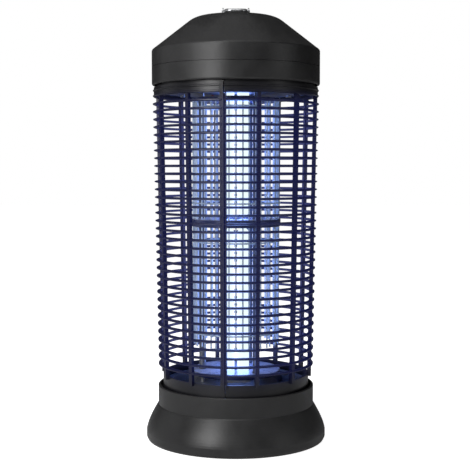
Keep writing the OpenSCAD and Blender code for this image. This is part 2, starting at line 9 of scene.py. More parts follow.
import bpy
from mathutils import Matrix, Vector


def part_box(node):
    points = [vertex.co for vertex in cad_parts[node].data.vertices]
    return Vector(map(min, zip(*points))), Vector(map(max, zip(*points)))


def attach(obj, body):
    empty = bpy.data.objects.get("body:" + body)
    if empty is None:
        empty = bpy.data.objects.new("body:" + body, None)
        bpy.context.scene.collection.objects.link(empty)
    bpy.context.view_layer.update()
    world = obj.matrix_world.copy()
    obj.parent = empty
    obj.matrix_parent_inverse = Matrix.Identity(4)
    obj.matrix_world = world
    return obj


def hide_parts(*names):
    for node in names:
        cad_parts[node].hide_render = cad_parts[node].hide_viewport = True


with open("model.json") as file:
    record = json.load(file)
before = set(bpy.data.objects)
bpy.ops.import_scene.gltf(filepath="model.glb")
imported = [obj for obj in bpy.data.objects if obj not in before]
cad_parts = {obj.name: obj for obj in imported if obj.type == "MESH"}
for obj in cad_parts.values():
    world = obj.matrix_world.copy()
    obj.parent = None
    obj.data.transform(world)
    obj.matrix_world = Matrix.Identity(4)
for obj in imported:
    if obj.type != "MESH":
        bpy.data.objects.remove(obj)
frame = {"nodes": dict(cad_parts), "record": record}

LOG = logging.getLogger("zapper")
MM = 0.001
SMOOTH_ANGLE = 35.0
Colour = tuple[float, float, float]
Point = tuple[float, float, float]


class Axis(Enum):
    """The direction that a brushed or wound pattern runs in."""

    X = 0
    Y = 1
    Z = 2


# ---------------------------------------------------------------- node sheets


class Sheet:
    """A node tree that is filled by name, with short calls."""

    def __init__(self, tree: bpy.types.NodeTree) -> None:
        """Wraps a tree.

        Args:
            tree: The node tree to fill.
        """
        self.tree = tree

    def add(self, kind: str, inputs: dict | None = None, **settings: object) -> bpy.types.Node:
        """Adds a node and sets or links its inputs.

        Args:
            kind: The node's type name.
            inputs: Input name or number, and a value or the socket that feeds it.
            settings: Attributes of the node.

        Returns:
            The new node.
        """
        node = self.tree.nodes.new(kind)
        for name, value in settings.items():
            setattr(node, name, value)
        for key, value in (inputs or {}).items():
            self.feed(node.inputs[key], value)
        return node

    def feed(self, target: bpy.types.NodeSocket, value: object) -> None:
        """Links a socket to an input, or sets the input's own value.

        Args:
            target: The input.
            value: A socket, a number or a tuple.
        """
        if isinstance(value, bpy.types.NodeSocket):
            self.tree.links.new(value, target)
        else:
            target.default_value = value

    def math(self, operation: str, a: object, b: object = 0.0, clamp: bool = False) -> bpy.types.NodeSocket:
        """Adds a math node.

        Args:
            operation: The operation's name.
            a: The first value or socket.
            b: The second value or socket.
            clamp: Whether the result is kept from 0 to 1.

        Returns:
            The result's socket.
        """
        return self.add("ShaderNodeMath", {0: a, 1: b}, operation=operation, use_clamp=clamp).outputs[0]

    def span(self, value: object, low: float, high: float, to_low: float = 0.0,
             to_high: float = 1.0) -> bpy.types.NodeSocket:
        """Maps a range of values to another one, smoothly and clamped.

        Args:
            value: The value or socket.
            low: The start of the range.
            high: The end of the range.
            to_low: What the start becomes.
            to_high: What the end becomes.

        Returns:
            The result's socket.
        """
        ins = {"Value": value, "From Min": low, "From Max": high, "To Min": to_low, "To Max": to_high}
        return self.add("ShaderNodeMapRange", ins, interpolation_type="SMOOTHSTEP").outputs["Result"]

    def blend(self, factor: object, a: object, b: object, mode: str = "MIX") -> bpy.types.NodeSocket:
        """Blends two colours.

        Args:
            factor: How much of the second.
            a: The first colour.
            b: The second colour.
            mode: The blend's name.

        Returns:
            The blended colour's socket.
        """
        node = self.add("ShaderNodeMix", None, data_type="RGBA", blend_type=mode)
        self.feed(node.inputs[0], factor)
        self.feed(node.inputs[6], a)
        self.feed(node.inputs[7], b)
        return node.outputs[2]


def rgba(colour: Colour) -> tuple[float, float, float, float]:
    """Gives a colour its fourth number."""
    return (*colour, 1.0)


class Effects:
    """Shared effects, each built once as a node group."""

    _made: dict[str, bpy.types.NodeTree] = {}

    @classmethod
    def _start(cls, name: str, ins: dict[str, str],
               outs: dict[str, str]) -> tuple[Sheet, bpy.types.Node, bpy.types.Node]:
        """Starts a group with named sockets.

        Args:
            name: The group's name.
            ins: Input names and their kinds.
            outs: Output names and their kinds.

        Returns:
            The sheet, its input node and its output node.
        """
        tree = bpy.data.node_groups.new(name, "ShaderNodeTree")
        for label, kind in ins.items():
            tree.interface.new_socket(label, in_out="INPUT", socket_type=kind)
        for label, kind in outs.items():
            tree.interface.new_socket(label, in_out="OUTPUT", socket_type=kind)
        cls._made[name] = tree
        sheet = Sheet(tree)
        return sheet, sheet.add("NodeGroupInput"), sheet.add("NodeGroupOutput")

    @classmethod
    def grain(cls) -> bpy.types.NodeTree:
        """Fine grain of a textured mould: a height and a fleck mask."""
        if "grain" in cls._made:
            return cls._made["grain"]
        ins = {"Vector": "NodeSocketVector", "Scale": "NodeSocketFloat"}
        outs = {"Height": "NodeSocketFloat", "Fleck": "NodeSocketFloat"}
        sheet, start, end = cls._start("grain", ins, outs)
        fine = sheet.add("ShaderNodeTexNoise", {"Vector": start.outputs[0], "Scale": start.outputs[1],
                                                "Detail": 3.0})
        cells = sheet.add("ShaderNodeTexVoronoi", {"Vector": start.outputs[0], "Scale": start.outputs[1]})
        pebbles = sheet.span(cells.outputs["Distance"], 0.1, 0.7, 1.0, 0.0)
        coarse = sheet.math("MULTIPLY", pebbles, 0.6)
        height = sheet.math("ADD", coarse, sheet.math("MULTIPLY", fine.outputs[0], 0.4))
        sheet.feed(end.inputs[0], height)
        sheet.feed(end.inputs[1], sheet.span(fine.outputs[0], 0.55, 0.75))
        return sheet.tree

    @classmethod
    def tone(cls) -> bpy.types.NodeTree:
        """Broad, faint variation from handling and moulding: a mask around one half."""
        if "tone" in cls._made:
            return cls._made["tone"]
        ins = {"Vector": "NodeSocketVector", "Scale": "NodeSocketFloat"}
        sheet, start, end = cls._start("tone", ins, {"Mask": "NodeSocketFloat"})
        broad = sheet.add("ShaderNodeTexNoise", {"Vector": start.outputs[0], "Scale": start.outputs[1],
                                                 "Detail": 4.0, "Roughness": 0.55, "Distortion": 0.6})
        sheet.feed(end.inputs[0], sheet.span(broad.outputs[0], 0.3, 0.7))
        return sheet.tree

    @classmethod
    def wear(cls) -> bpy.types.NodeTree:
        """Edges that handling has polished: a mask along convex and concave edges, broken up by noise."""
        if "wear" in cls._made:
            return cls._made["wear"]
        ins = {"Vector": "NodeSocketVector", "Radius": "NodeSocketFloat"}
        sheet, start, end = cls._start("wear", ins, {"Mask": "NodeSocketFloat"})
        rounded = sheet.add("ShaderNodeBevel", {"Radius": start.outputs[1]}, samples=4)
        plain = sheet.add("ShaderNodeNewGeometry")
        both = sheet.add("ShaderNodeVectorMath", {0: rounded.outputs[0], 1: plain.outputs["Normal"]},
                         operation="DOT_PRODUCT")
        edge = sheet.span(sheet.math("SUBTRACT", 1.0, both.outputs["Value"]), 0.01, 0.16)
        broken = sheet.add("ShaderNodeTexNoise", {"Vector": start.outputs[0], "Scale": 160.0, "Detail": 3.0})
        patches = sheet.span(broken.outputs[0], 0.35, 0.65, 0.25, 1.0)
        sheet.feed(end.inputs[0], sheet.math("MULTIPLY", edge, patches))
        return sheet.tree

    @classmethod
    def dust(cls) -> bpy.types.NodeTree:
        """Thin dust on what faces up: a mask."""
        if "dust" in cls._made:
            return cls._made["dust"]
        sheet, start, end = cls._start("dust", {"Vector": "NodeSocketVector"}, {"Mask": "NodeSocketFloat"})
        up = sheet.add("ShaderNodeSeparateXYZ", {0: sheet.add("ShaderNodeNewGeometry").outputs["Normal"]})
        specks = sheet.add("ShaderNodeTexNoise", {"Vector": start.outputs[0], "Scale": 420.0, "Detail": 6.0,
                                                  "Roughness": 0.7})
        sheet.feed(end.inputs[0], sheet.math("MULTIPLY", sheet.span(up.outputs[2], 0.5, 0.95),
                                             sheet.span(specks.outputs[0], 0.45, 0.8)))
        return sheet.tree

    @classmethod
    def streaks(cls) -> bpy.types.NodeTree:
        """Long fine streaks of drawn or brushed metal, across the stretched axis: a mask."""
        if "streaks" in cls._made:
            return cls._made["streaks"]
        ins = {"Vector": "NodeSocketVector", "Stretch": "NodeSocketVector"}
        sheet, start, end = cls._start("streaks", ins, {"Mask": "NodeSocketFloat"})
        drawn = sheet.add("ShaderNodeVectorMath", {0: start.outputs[0], 1: start.outputs[1]},
                          operation="MULTIPLY")
        lines = sheet.add("ShaderNodeTexNoise", {"Vector": drawn.outputs[0], "Scale": 1.0, "Detail": 4.0})
        sheet.feed(end.inputs[0], sheet.span(lines.outputs[0], 0.35, 0.65))
        return sheet.tree


# ---------------------------------------------------------------- finishes


def new_material(name: str) -> tuple[bpy.types.Material, Sheet, bpy.types.Node, bpy.types.NodeSocket]:
    """Starts a material with a Principled shader and Object coordinates.

    Args:
        name: The material's name.

    Returns:
        The material, its sheet, the shader node and the coordinates' socket.
    """
    made = bpy.data.materials.new(name)
    made.use_nodes = True
    made.node_tree.nodes.clear()
    sheet = Sheet(made.node_tree)
    shader = sheet.add("ShaderNodeBsdfPrincipled")
    end = sheet.add("ShaderNodeOutputMaterial")
    sheet.feed(end.inputs[0], shader.outputs[0])
    place = sheet.add("ShaderNodeTexCoord").outputs["Object"]
    return made, sheet, shader, place


def use(sheet: Sheet, tree: bpy.types.NodeTree, **inputs: object) -> bpy.types.Node:
    """Places an effect in a material.

    Args:
        sheet: The material's sheet.
        tree: The effect's group.
        inputs: The effect's input names and values.

    Returns:
        The group node.
    """
    node = sheet.add("ShaderNodeGroup", None, node_tree=tree)
    for name, value in inputs.items():
        sheet.feed(node.inputs[name], value)
    return node


@dataclass(frozen=True)
class Plastic:
    """Moulded plastic or rubber with grain, tone, polished edges, a little dust and, if set, a painted
    lighter top and painted lamp light.
    """

    name: str
    colour: Colour
    edge: Colour
    roughness: float = 0.42
    grain: float = 1500.0
    depth: float = 0.00004
    tone: float = 0.25
    wear: float = 0.5
    dust: float = 0.06
    specular: float = 0.5
    coat: float = 0.0
    # top: a lighter colour for up-facing faces, which is painted light from the lamp above them.
    top: Colour | None = None
    # Painted lamp light: emission colours, strength and height band. The inner colour goes on faces that look
    # at the axis.
    painted_light: Colour = (0.0, 0.0, 0.0)
    painted_light_inner: Colour = (0.0, 0.0, 0.0)
    painted_light_strength: float = 0.0
    painted_light_span: tuple[float, float] = (0.0, 1.0)

    def material(self) -> bpy.types.Material:
        """Builds the material.

        Returns:
            The material.
        """
        made, sheet, shader, place = new_material(self.name)
        grain = use(sheet, Effects.grain(), Vector=place, Scale=self.grain)
        tone = use(sheet, Effects.tone(), Vector=place, Scale=22.0).outputs[0]
        wear = use(sheet, Effects.wear(), Vector=place, Radius=0.0006).outputs[0]
        dust = use(sheet, Effects.dust(), Vector=place).outputs[0]
        dark = tuple(c * (1 - self.tone) for c in self.colour)
        light = tuple(c * (1 + self.tone) for c in self.colour)
        colour = sheet.blend(tone, rgba(dark), rgba(light))
        # Painted light: faces that point up are blended towards a lighter colour, as if lit from above.
        if self.top:
            up = sheet.add("ShaderNodeSeparateXYZ", {0: sheet.add("ShaderNodeNewGeometry").outputs["Normal"]})
            colour = sheet.blend(sheet.span(up.outputs[2], 0.5, 0.95), colour, rgba(self.top))
        colour = sheet.blend(sheet.math("MULTIPLY", grain.outputs["Fleck"], 0.25), colour, rgba(self.edge))
        colour = sheet.blend(sheet.math("MULTIPLY", wear, self.wear), colour, rgba(self.edge))
        colour = sheet.blend(sheet.math("MULTIPLY", dust, self.dust), colour, rgba((0.5, 0.49, 0.47)))
        sheet.feed(shader.inputs["Base Color"], colour)
        rough = sheet.span(tone, 0.0, 1.0, self.roughness - 0.05, self.roughness + 0.06)
        rough = sheet.math("SUBTRACT", rough, sheet.math("MULTIPLY", wear, 0.12))
        rough = sheet.math("ADD", rough, sheet.math("MULTIPLY", dust, 0.3), clamp=True)
        sheet.feed(shader.inputs["Roughness"], rough)
        bump = sheet.add("ShaderNodeBump", {"Height": grain.outputs["Height"], "Distance": self.depth,
                                            "Strength": 1.0})
        sheet.feed(shader.inputs["Normal"], bump.outputs[0])
        shader.inputs["Specular IOR Level"].default_value = self.specular
        shader.inputs["Coat Weight"].default_value = self.coat
        # Painted lamp light, given as emission.
        if self.painted_light_strength:
            self._paint_lamp_light(sheet, shader, place)
        return made

    def _paint_lamp_light(self, sheet: Sheet, shader: bpy.types.Node, place: bpy.types.NodeSocket) -> None:
        """Paints the lamps' light as emission: a painted glow on the ribs between the bands, stronger on the
        faces that look at the axis.

        Args:
            sheet: The material's sheet.
            shader: The shader node.
            place: The Object coordinates.
        """
        height = sheet.add("ShaderNodeSeparateXYZ", {0: place}).outputs[2]
        low, high = self.painted_light_span
        bottom = sheet.span(height, low, low + 0.03)
        inside = sheet.math("MULTIPLY", bottom, sheet.span(height, high - 0.02, high, 1.0, 0.0))
        level = sheet.add("ShaderNodeVectorMath", {0: place, 1: (1.0, 1.0, 0.0)}, operation="MULTIPLY")
        outward = sheet.add("ShaderNodeVectorMath", {0: level.outputs[0]}, operation="NORMALIZE").outputs[0]
        normal = sheet.add("ShaderNodeNewGeometry").outputs["Normal"]
        facing = sheet.add("ShaderNodeVectorMath", {0: outward, 1: normal}, operation="DOT_PRODUCT")
        inward = sheet.span(facing.outputs["Value"], -0.9, -0.3, 1.0, 0.0)
        # Painted lamp light: the brighter inner colour goes on faces that look at the axis.
        painted_light = sheet.blend(inward, rgba(self.painted_light), rgba(self.painted_light_inner))
        sheet.feed(shader.inputs["Emission Color"], sheet.blend(inside, rgba((0.0, 0.0, 0.0)), painted_light))
        shader.inputs["Emission Strength"].default_value = self.painted_light_strength


@dataclass(frozen=True)
class Metal:
    """Drawn, plated or rolled metal with streaks along one axis and, if set, painted lamp light as emission.
    """

    name: str
    colour: Colour
    dull: Colour
    roughness: float = 0.32
    along: Axis = Axis.Z
    fine: float = 2500.0
    metallic: float = 1.0
    # Emission colour: painted lamp light on the metal.
    painted_light: Colour = (0.0, 0.0, 0.0)

    def material(self) -> bpy.types.Material:
        """Builds the material.

        Returns:
            The material.
        """
        made, sheet, shader, place = new_material(self.name)
        stretch = [self.fine] * 3
        stretch[self.along.value] = self.fine / 40
        streak = use(sheet, Effects.streaks(), Vector=place, Stretch=tuple(stretch)).outputs[0]
        tone = use(sheet, Effects.tone(), Vector=place, Scale=90.0).outputs[0]
        wear = use(sheet, Effects.wear(), Vector=place, Radius=0.0004).outputs[0]
        colour = sheet.blend(sheet.math("MULTIPLY", tone, 0.6), rgba(self.colour), rgba(self.dull))
        bright = tuple(min(1.0, c * 1.25) for c in self.colour)
        colour = sheet.blend(sheet.math("MULTIPLY", wear, 0.6), colour, rgba(bright))
        sheet.feed(shader.inputs["Base Color"], colour)
        rough = sheet.span(streak, 0.0, 1.0, self.roughness - 0.08, self.roughness + 0.12)
        sheet.feed(shader.inputs["Roughness"], sheet.math("ADD", rough, sheet.math("MULTIPLY", tone, 0.08)))
        shader.inputs["Metallic"].default_value = self.metallic
        bump = sheet.add("ShaderNodeBump", {"Height": streak, "Distance": 0.00002, "Strength": 0.6})
        sheet.feed(shader.inputs["Normal"], bump.outputs[0])
        # Painted lamp light, given as emission.
        if any(self.painted_light):
            shader.inputs["Emission Color"].default_value = rgba(self.painted_light)
            shader.inputs["Emission Strength"].default_value = 1.0
        return made


@dataclass(frozen=True)
class LampGlass:
    """Phosphor-coated glass of a lit lamp: near white to the camera, blue on what it lights."""

    name: str
    seen: Colour
    cast: Colour
    seen_strength: float
    cast_strength: float
    ends: tuple[float, float]
    dim_end: float = 0.012

    def material(self) -> bpy.types.Material:
        """Builds the material.

        Returns:
            The material.
        """
        made, sheet, shader, place = new_material(self.name)
        mottle = use(sheet, Effects.tone(), Vector=place, Scale=60.0).outputs[0]
        grain = use(sheet, Effects.grain(), Vector=place, Scale=2500.0)
        colour = sheet.blend(mottle, rgba((0.06, 0.065, 0.07)), rgba((0.09, 0.095, 0.1)))
        sheet.feed(shader.inputs["Base Color"], colour)
        shader.inputs["Roughness"].default_value = 0.15
        height = sheet.add("ShaderNodeSeparateXYZ", {0: place}).outputs[2]
        low, high = self.ends
        bottom = sheet.span(height, low, low + self.dim_end)
        lit = sheet.math("MULTIPLY", bottom, sheet.span(height, high - self.dim_end, high, 1.0, 0.0))
        lit = sheet.span(lit, 0.0, 1.0, 0.35, 1.0)
        eye = sheet.add("ShaderNodeLightPath").outputs["Is Camera Ray"]
        cast = tuple(c * self.cast_strength for c in self.cast)
        seen = tuple(c * self.seen_strength for c in self.seen)
        colour = sheet.blend(eye, rgba(cast), rgba(seen))
        sheet.feed(shader.inputs["Emission Color"], sheet.blend(lit, rgba((0.0, 0.0, 0.0)), colour))
        shader.inputs["Emission Strength"].default_value = 1.0
        bump = sheet.add("ShaderNodeBump", {"Height": grain.outputs["Height"], "Distance": 0.00001,
                                            "Strength": 0.5})
        sheet.feed(shader.inputs["Normal"], bump.outputs[0])
        return made


@dataclass(frozen=True)
class Banded:
    """Something wound or stacked: fine parallel bands along one axis."""

    name: str
    light: Colour
    dark: Colour
    along: Axis
    pitch: float
    roughness: float = 0.4
    metallic: float = 0.0
    depth: float = 0.0002

    def material(self) -> bpy.types.Material:
        """Builds the material.

        Returns:
            The material.
        """
        made, sheet, shader, place = new_material(self.name)
        along = sheet.add("ShaderNodeSeparateXYZ", {0: place}).outputs[self.along.value]
        wave = sheet.math("SINE", sheet.math("MULTIPLY", along, 2 * math.pi / self.pitch))
        band = sheet.span(wave, -1.0, 1.0)
        tone = use(sheet, Effects.tone(), Vector=place, Scale=80.0).outputs[0]
        colour = sheet.blend(band, rgba(self.dark), rgba(self.light))
        colour = sheet.blend(sheet.math("MULTIPLY", tone, 0.3), colour, rgba(self.dark))
        sheet.feed(shader.inputs["Base Color"], colour)
        rough = sheet.span(tone, 0.0, 1.0, self.roughness - 0.08, self.roughness + 0.1)
        sheet.feed(shader.inputs["Roughness"], rough)
        shader.inputs["Metallic"].default_value = self.metallic
        bump = sheet.add("ShaderNodeBump", {"Height": band, "Distance": self.depth, "Strength": 1.0})
        sheet.feed(shader.inputs["Normal"], bump.outputs[0])
        return made


@dataclass(frozen=True)
class Board:
    """Circuit board: green mask over copper tracks."""

    name: str
    mask: Colour = (0.02, 0.16, 0.06)
    track: Colour = (0.05, 0.28, 0.1)

    def material(self) -> bpy.types.Material:
        """Builds the material.

        Returns:
            The material.
        """
        made, sheet, shader, place = new_material(self.name)
        cells = sheet.add("ShaderNodeTexBrick", {"Vector": place, "Scale": 260.0, "Mortar Size": 0.03})
        tone = use(sheet, Effects.tone(), Vector=place, Scale=120.0).outputs[0]
        line = cells.outputs["Fac"]
        sheet.feed(shader.inputs["Base Color"], sheet.blend(line, rgba(self.mask), rgba(self.track)))
        sheet.feed(shader.inputs["Roughness"], sheet.span(tone, 0.0, 1.0, 0.25, 0.4))
        bump = sheet.add("ShaderNodeBump", {"Height": line, "Distance": 0.00005, "Strength": 1.0})
        sheet.feed(shader.inputs["Normal"], bump.outputs[0])
        return made


BODY_PLASTIC = Plastic("body_plastic", (0.012, 0.012, 0.0125), (0.034, 0.034, 0.035), roughness=0.44,
                       specular=0.42)
# The guard's emission is painted blue lamp light, not a glow of the plastic.
GUARD_PLASTIC = Plastic("guard_plastic", (0.006, 0.006, 0.008), (0.018, 0.018, 0.024), roughness=0.36,
                        tone=0.2, specular=0.34, painted_light=(0.005, 0.008, 0.077), painted_light_inner=(0.07, 0.08, 0.26),
                        painted_light_strength=0.5, painted_light_span=(0.062, 0.368))
FRAME_PLASTIC = Plastic("frame_plastic", (0.16, 0.17, 0.2), (0.3, 0.3, 0.33), roughness=0.4, tone=0.1,
                        wear=0.2)
RUBBER = Plastic("foot_rubber", (0.014, 0.014, 0.014), (0.04, 0.04, 0.04), roughness=0.75, grain=900.0,
                 depth=0.00008, dust=0.3, specular=0.3)
GLAND_RUBBER = Plastic("gland_rubber", (0.02, 0.02, 0.021), (0.05, 0.05, 0.05), roughness=0.6, specular=0.4)
SLEEVE = Plastic("spacer_plastic", (0.09, 0.1, 0.13), (0.3, 0.3, 0.33), roughness=0.35, tone=0.1, wear=0.2)
WHITE_PLASTIC = Plastic("socket_plastic", (0.62, 0.62, 0.6), (0.75, 0.75, 0.73), roughness=0.3, tone=0.06,
                        wear=0.2)
# The insulator's lighter top is painted lamp light.
INSULATOR = Plastic("insulator", (0.03, 0.04, 0.12), (0.1, 0.12, 0.3), roughness=0.28, tone=0.12, coat=0.2,
                    top=(0.48, 0.51, 0.6))
CAPACITOR = Plastic("capacitor_plastic", (0.03, 0.09, 0.35), (0.1, 0.2, 0.5), roughness=0.25, wear=0.2)
CERAMIC = Plastic("resistor_ceramic", (0.5, 0.38, 0.24), (0.6, 0.5, 0.35), roughness=0.55, wear=0.2)
LEAD_RED = Plastic("lead_red", (0.42, 0.03, 0.02), (0.5, 0.08, 0.06), roughness=0.45, wear=0.1)
LEAD_BLUE = Plastic("lead_blue", (0.03, 0.06, 0.35), (0.08, 0.12, 0.45), roughness=0.45, wear=0.1)
# The grid steel's emission is painted blue light from the tubes.
GRID_STEEL = Metal("grid_steel", (0.6, 0.66, 0.74), (0.34, 0.38, 0.48), roughness=0.48, metallic=0.6,
                   painted_light=(0.035, 0.06, 0.085))
ZINC = Metal("zinc", (0.62, 0.63, 0.64), (0.42, 0.42, 0.43), roughness=0.34, along=Axis.X)
ZINC_RING = Metal("ferrule_zinc", (0.66, 0.67, 0.7), (0.45, 0.45, 0.47), roughness=0.28, along=Axis.Y)
CORE = Banded("core_steel", (0.32, 0.32, 0.34), (0.12, 0.12, 0.13), Axis.X, 0.0007, roughness=0.45,
              metallic=1.0)
COPPER = Banded("copper_wire", (0.62, 0.24, 0.08), (0.25, 0.08, 0.02), Axis.Y, 0.0006, metallic=0.7)
CIRCUIT = Board("board")


# ---------------------------------------------------------------- modelling by operators


def nothing_selected() -> None:
    """Leaves edit mode and deselects every object."""
    if bpy.context.object and bpy.context.object.mode != "OBJECT":
        bpy.ops.object.mode_set(mode="OBJECT")
    bpy.ops.object.select_all(action="DESELECT")


def only(thing: bpy.types.Object) -> None:
    """Selects one object and makes it active."""
    nothing_selected()
    thing.select_set(True)
    bpy.context.view_layer.objects.active = thing


def named(name: str) -> bpy.types.Object:
    """Names the active object and its mesh.

    Args:
        name: The piece's name.

    Returns:
        The object.
    """
    thing = bpy.context.object
    thing.name = name
    thing.data.name = name
    return thing


def settle(thing: bpy.types.Object) -> bpy.types.Object:
    """Applies the object's place to its mesh and smooths its shading.

    Args:
        thing: The piece.

    Returns:
        The piece.
    """
    only(thing)
    bpy.ops.object.transform_apply(location=True, rotation=True, scale=True)
    bpy.ops.object.shade_smooth_by_angle(angle=math.radians(SMOOTH_ANGLE))
    return thing


def modify(thing: bpy.types.Object, kind: str, **settings: object) -> None:
    """Adds a modifier and applies it.

    Args:
        thing: The piece.
        kind: The modifier's type.
        settings: The modifier's attributes.
    """
    only(thing)
    made = thing.modifiers.new(kind.lower(), kind)
    for name, value in settings.items():
        setattr(made, name, value)
    bpy.ops.object.modifier_apply(modifier=made.name)


def turned(name: str, outline: list[tuple[float, float]], sides: int) -> bpy.types.Object:
    """Turns a closed outline of radii and heights about the Z axis, extruding one ring after another.

    Args:
        name: The piece's name.
        outline: Radius and height of each ring, in metres.
        sides: Faces around.

    Returns:
        The piece.
    """
    nothing_selected()
    radius, height = outline[0]
    bpy.ops.mesh.primitive_circle_add(vertices=sides, radius=radius, location=(0, 0, height))
    thing = named(name)
    bpy.ops.object.transform_apply(location=True, rotation=False, scale=False)
    bpy.ops.object.mode_set(mode="EDIT")
    bpy.ops.mesh.select_all(action="SELECT")
    for new_radius, new_height in outline[1:] + outline[:1]:
        bpy.ops.mesh.extrude_edges_move(TRANSFORM_OT_translate={"value": (0, 0, new_height - height)})
        ratio = new_radius / radius
        bpy.ops.transform.resize(value=(ratio, ratio, 1.0), center_override=(0, 0, new_height))
        radius, height = new_radius, new_height
    bpy.ops.mesh.select_all(action="SELECT")
    bpy.ops.mesh.remove_doubles(threshold=0.00001)
    bpy.ops.mesh.normals_make_consistent(inside=False)
    bpy.ops.object.mode_set(mode="OBJECT")
    return thing


def moved_copy(thing: bpy.types.Object, name: str, place: Point) -> bpy.types.Object:
    """Copies a piece with its own mesh and moves the copy, with its place in its mesh.

    Args:
        thing: The piece.
        name: The copy's name.
        place: How far it moves, in metres.

    Returns:
        The copy.
    """
    only(thing)
    bpy.ops.object.duplicate(linked=False)
    copy = named(name)
    copy.location = place
    return settle(copy)


def dropped(thing: bpy.types.Object) -> None:
    """Deletes a helper or a first copy that isn't used itself."""
    only(thing)
    bpy.ops.object.delete()


def joined(things: list[bpy.types.Object], name: str) -> bpy.types.Object:
    """Joins pieces into one.

    Args:
        things: The pieces.
        name: The joined piece's name.

    Returns:
        The joined piece.
    """
    nothing_selected()
    for thing in things:
        thing.select_set(True)
    bpy.context.view_layer.objects.active = things[0]
    bpy.ops.object.join()
    return named(name)


def dress(thing: bpy.types.Object, material: bpy.types.Material, body: str) -> None:
    """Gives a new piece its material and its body.

    Args:
        thing: The piece.
        material: The material.
        body: The body that it rides on.
    """
    thing.data.materials.clear()
    thing.data.materials.append(material)
    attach(thing, body)
    LOG.info("%s rides on %s", thing.name, body)


# ---------------------------------------------------------------- the object


@dataclass
class CadDress:
    """Gives every CAD node the finish of its material slot."""

    finishes: dict[str, bpy.types.Material] = field(default_factory=dict)

    def build(self) -> None:
        """Builds the finishes once and assigns them by slot."""
        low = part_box("lower_lamp_glass")[0].z
        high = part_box("upper_lamp_glass")[1].z
        lamp = LampGlass("lamp_glass", seen=(0.86, 1.0, 0.97), cast=(0.22, 0.36, 1.0), seen_strength=1.0,
                         cast_strength=8.0, ends=(low, high))
        by_slot = {
            "body_plastic": BODY_PLASTIC, "guard_plastic": GUARD_PLASTIC, "frame_plastic": FRAME_PLASTIC,
            "foot_rubber": RUBBER, "gland_rubber": GLAND_RUBBER, "socket_plastic": WHITE_PLASTIC,
            "lamp_base_plastic": WHITE_PLASTIC, "insulator": INSULATOR, "capacitor_plastic": CAPACITOR,
            "resistor_ceramic": CERAMIC, "lead_red": LEAD_RED, "lead_blue": LEAD_BLUE,
            "grid_steel": GRID_STEEL,
            "zinc": ZINC, "core_steel": CORE, "copper_wire": COPPER, "board": CIRCUIT, "lamp_glass": lamp,
        }
        made: dict[str, bpy.types.Material] = {}
        for slot, finish in by_slot.items():
            if finish.name not in made:
                made[finish.name] = finish.material()
            self.finishes[slot] = made[finish.name]
        for part in frame["record"]["subparts"]:
            node = frame["nodes"][part["node"]]
            node.data.materials.clear()
            node.data.materials.append(self.finishes[part["material_slot"]])
        LOG.info("%d nodes dressed in %d finishes", len(frame["nodes"]), len(made))


@dataclass
class Spacers:
    """Tubular sleeves on the tie rods, which hold the grid's plates apart."""

    rods: tuple[str, ...] = ("tie_rod_1", "tie_rod_2", "tie_rod_3")
    plates: tuple[str, ...] = ("grid_bottom_plate", "grid_middle_plate", "grid_top_plate")
    gap: float = 0.15 * MM
    wall: float = 1.25 * MM
    edge: float = 0.4 * MM
    end_gap: float = 0.2 * MM
    sides: int = 32

    def build(self) -> None:
        """Builds one sleeve for each space between two plates and copies it to every rod."""
        material = SLEEVE.material()
        lo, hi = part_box(self.rods[0])
        inner = (hi.x - lo.x) / 2 + self.gap
        for below, above in zip(self.plates, self.plates[1:]):
            low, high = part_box(below)[1].z + self.end_gap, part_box(above)[0].z - self.end_gap
            first = self._sleeve(inner, low, high, above)
            for rod in self.rods:
                lo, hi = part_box(rod)
                place = ((lo.x + hi.x) / 2, (lo.y + hi.y) / 2, 0.0)
                sleeve = moved_copy(first, f"spacer_{rod[-1]}_{above}", place)
                dress(sleeve, material, "tower")
            dropped(first)

    def _sleeve(self, inner: float, low: float, high: float, name: str) -> bpy.types.Object:
        """Turns one sleeve with a bevelled collar at each end.

        Args:
            inner: The bore's radius.
            low: Height of its lower end.
            high: Height of its upper end.
            name: The plate above it.

        Returns:
            The sleeve, on the Z axis.
        """
        outer, edge = inner + self.wall, self.edge
        collar = [(inner, low), (outer, low), (outer + edge, low + edge), (outer + edge, low + 5 * edge),
                  (outer, low + 7 * edge)]
        top = [(radius, low + high - height) for radius, height in reversed(collar)]
        return turned(f"sleeve_{name}", collar + top, sides=self.sides)


@dataclass
class LampFerrules:
    """Metal collars where the glass limbs enter the lamps' bases."""

    lamps: tuple[str, ...] = ("lower_lamp", "upper_lamp")
    height: float = 3.6 * MM
    wall: float = 0.45 * MM
    bead: float = 0.35 * MM
    gap: float = 0.05 * MM
    sides: int = 48

    def build(self) -> None:
        """Turns one collar for each lamp and copies it to both of its limbs."""
        material = ZINC_RING.material()
        for lamp in self.lamps:
            glass_low, glass_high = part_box(f"{lamp}_glass")
            base_low, base_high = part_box(f"{lamp}_base")
            limb_r = (glass_high.y - glass_low.y) / 2
            hangs = base_low.z > glass_low.z
            start = base_low.z - self.height if hangs else base_high.z
            first = self._collar(limb_r + self.gap, start + self.gap, lamp)
            for side, sign in (("left", -1), ("right", 1)):
                place = (sign * (glass_high.x - limb_r), 0.0, 0.0)
                dress(moved_copy(first, f"ferrule_{lamp}_{side}", place), material, "tower")
            dropped(first)

    def _collar(self, inner: float, low: float, name: str) -> bpy.types.Object:
        """Turns one collar with a rolled bead at both ends.

        Args:
            inner: The bore's radius.
            low: Height of its lower edge.
            name: The lamp that it belongs to.

        Returns:
            The collar, on the Z axis.
        """
        outer, high = inner + self.wall, low + self.height
        bead = self.bead
        wide = outer + bead
        outline = [(inner, low), (wide, low), (wide, low + 2 * bead), (outer, low + 3 * bead),
                   (outer, high - 3 * bead), (wide, high - 2 * bead), (wide, high), (inner, high)]
        return turned(f"collar_{name}", outline, sides=self.sides)


